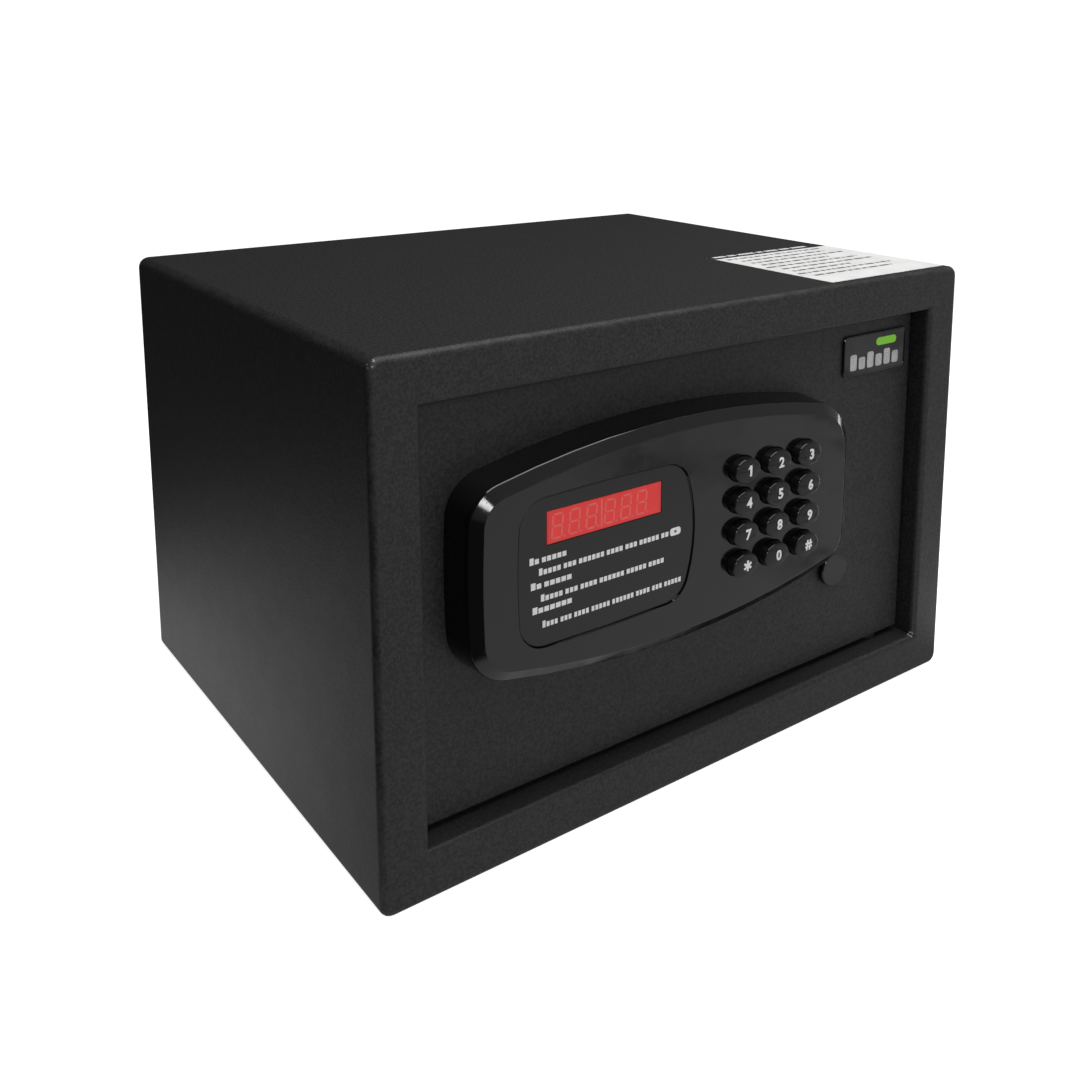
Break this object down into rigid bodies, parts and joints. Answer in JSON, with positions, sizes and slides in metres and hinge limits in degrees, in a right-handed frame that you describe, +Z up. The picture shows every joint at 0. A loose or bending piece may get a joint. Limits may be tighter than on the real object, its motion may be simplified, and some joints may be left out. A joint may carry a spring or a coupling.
{
  "type": "in-room safe",
  "caption": "Black steel hotel-room safe: box cabinet, recessed hinged door, bowed electronic keypad panel, motor-driven bolts and a key override.",
  "frame": {"origin": "centre of the cabinet's underside", "axes": "-Y is the front, the way the door faces; +X is to the right seen from the front; +Z is up"},
  "size_m": [0.35, 0.2951, 0.2303],
  "materials": {
    "powder_coat": "fine-textured black powder coat on steel",
    "gloss_black": "glossy black moulded plastic",
    "key_black": "satin black key caps with white characters",
    "smoked_window": "smoked acrylic window plate",
    "red_filter": "red display filter",
    "matte_black": "matte black plastic",
    "silicone": "grey silicone rubber",
    "black_rubber": "black rubber",
    "board": "green glass-epoxy circuit board",
    "zinc": "zinc-plated steel",
    "steel": "bright turned steel",
    "chrome": "chromed steel",
    "brass": "bright brass",
    "nylon": "black nylon",
    "felt": "dark grey needle felt",
    "label": "white printed label",
    "cell": "printed plastic jacket",
    "red_button": "red plastic"
  },
  "bodies": {
    "cabinet": {"body_shell": "powder_coat", "rear_panel": "powder_coat", "bolt_keeper": "zinc", "door_stop": "powder_coat", "floor_mat": "felt", "instruction_label": "label", "hinge_pin_lower": "powder_coat", "hinge_pin_upper": "powder_coat", "hinge_washer": "nylon", "anchor_plug_left": "black_rubber", "anchor_plug_right": "black_rubber"},
    "door": {"door_plate": "powder_coat", "hinge_block_lower": "steel", "hinge_block_upper": "steel", "nameplate": "gloss_black", "panel_housing": "gloss_black", "display_window": "smoked_window", "led_filter": "red_filter", "led_module": "matte_black", "circuit_board": "board", "keypad_mat": "silicone", "lock_cylinder": "brass", "cylinder_nut": "zinc", "cover_rivet": "powder_coat", "lock_chassis": "zinc", "gearbox": "matte_black", "drive_motor": "zinc", "inner_cover": "powder_coat", "button_switch": "matte_black", "battery_box": "matte_black", "battery_1": "cell", "battery_2": "cell", "battery_3": "cell", "battery_4": "cell", "cover_screw_1": "zinc", "cover_screw_2": "zinc", "cover_screw_3": "zinc", "cover_screw_4": "zinc", "wiring_loom": "silicone"},
    "key_1_cap": {"key_1": "key_black"},
    "key_2_cap": {"key_2": "key_black"},
    "key_3_cap": {"key_3": "key_black"},
    "key_4_cap": {"key_4": "key_black"},
    "key_5_cap": {"key_5": "key_black"},
    "key_6_cap": {"key_6": "key_black"},
    "key_7_cap": {"key_7": "key_black"},
    "key_8_cap": {"key_8": "key_black"},
    "key_9_cap": {"key_9": "key_black"},
    "key_star_cap": {"key_star": "key_black"},
    "key_0_cap": {"key_0": "key_black"},
    "key_hash_cap": {"key_hash": "key_black"},
    "cover": {"override_cover": "gloss_black"},
    "plug": {"lock_plug": "steel", "lock_cam": "zinc"},
    "bolt_carriage": {"bolt_plate": "zinc", "locking_bolt_lower": "chrome", "locking_bolt_upper": "chrome"},
    "pinion": {"drive_pinion": "brass"},
    "battery_lid": {"battery_cover": "matte_black"},
    "button": {"reset_button": "red_button"}
  },
  "joints": [
    {"name": "door_hinge", "type": "hinge", "parent": "cabinet", "child": "door", "pos_m": [0.1325, -0.121, 0.115], "axis": [0, 0, 1], "range_deg": [0, 105]},
    {"name": "key_1_press", "type": "slide", "parent": "door", "child": "key_1_cap", "axis": [0, 1, 0], "range_m": [0, 0.0015], "stiffness_N_per_m": 500, "springref_m": -0.001},
    {"name": "key_2_press", "type": "slide", "parent": "door", "child": "key_2_cap", "axis": [0, 1, 0], "range_m": [0, 0.0015], "stiffness_N_per_m": 500, "springref_m": -0.001},
    {"name": "key_3_press", "type": "slide", "parent": "door", "child": "key_3_cap", "axis": [0, 1, 0], "range_m": [0, 0.0015], "stiffness_N_per_m": 500, "springref_m": -0.001},
    {"name": "key_4_press", "type": "slide", "parent": "door", "child": "key_4_cap", "axis": [0, 1, 0], "range_m": [0, 0.0015], "stiffness_N_per_m": 500, "springref_m": -0.001},
    {"name": "key_5_press", "type": "slide", "parent": "door", "child": "key_5_cap", "axis": [0, 1, 0], "range_m": [0, 0.0015], "stiffness_N_per_m": 500, "springref_m": -0.001},
    {"name": "key_6_press", "type": "slide", "parent": "door", "child": "key_6_cap", "axis": [0, 1, 0], "range_m": [0, 0.0015], "stiffness_N_per_m": 500, "springref_m": -0.001},
    {"name": "key_7_press", "type": "slide", "parent": "door", "child": "key_7_cap", "axis": [0, 1, 0], "range_m": [0, 0.0015], "stiffness_N_per_m": 500, "springref_m": -0.001},
    {"name": "key_8_press", "type": "slide", "parent": "door", "child": "key_8_cap", "axis": [0, 1, 0], "range_m": [0, 0.0015], "stiffness_N_per_m": 500, "springref_m": -0.001},
    {"name": "key_9_press", "type": "slide", "parent": "door", "child": "key_9_cap", "axis": [0, 1, 0], "range_m": [0, 0.0015], "stiffness_N_per_m": 500, "springref_m": -0.001},
    {"name": "key_star_press", "type": "slide", "parent": "door", "child": "key_star_cap", "axis": [0, 1, 0], "range_m": [0, 0.0015], "stiffness_N_per_m": 500, "springref_m": -0.001},
    {"name": "key_0_press", "type": "slide", "parent": "door", "child": "key_0_cap", "axis": [0, 1, 0], "range_m": [0, 0.0015], "stiffness_N_per_m": 500, "springref_m": -0.001},
    {"name": "key_hash_press", "type": "slide", "parent": "door", "child": "key_hash_cap", "axis": [0, 1, 0], "range_m": [0, 0.0015], "stiffness_N_per_m": 500, "springref_m": -0.001},
    {"name": "cover_swing", "type": "hinge", "parent": "door", "child": "cover", "pos_m": [0.093, -0.132, 0.0875], "axis": [0, -1, 0], "range_deg": [0, 110]},
    {"name": "plug_turn", "type": "hinge", "parent": "door", "child": "plug", "pos_m": [0.093, -0.12, 0.075], "axis": [0, 1, 0], "range_deg": [0, 90]},
    {"name": "bolt_slide", "type": "slide", "parent": "door", "child": "bolt_carriage", "axis": [-1, 0, 0], "range_m": [0, 0.014]},
    {"name": "pinion_spin", "type": "hinge", "parent": "door", "child": "pinion", "pos_m": [-0.06, -0.1, 0.11825], "axis": [0, 1, 0], "range_deg": [0, 134]},
    {"name": "battery_lid_slide", "type": "slide", "parent": "door", "child": "battery_lid", "axis": [-1, 0, 0], "range_m": [0, 0.07]},
    {"name": "button_press", "type": "slide", "parent": "door", "child": "button", "axis": [0, -1, 0], "range_m": [0, 0.0015], "stiffness_N_per_m": 500, "springref_m": -0.001}
  ],
  "couplings": [
    {"joint": "pinion_spin", "follows": "bolt_slide", "rad_per_m": 166.67}
  ]
}
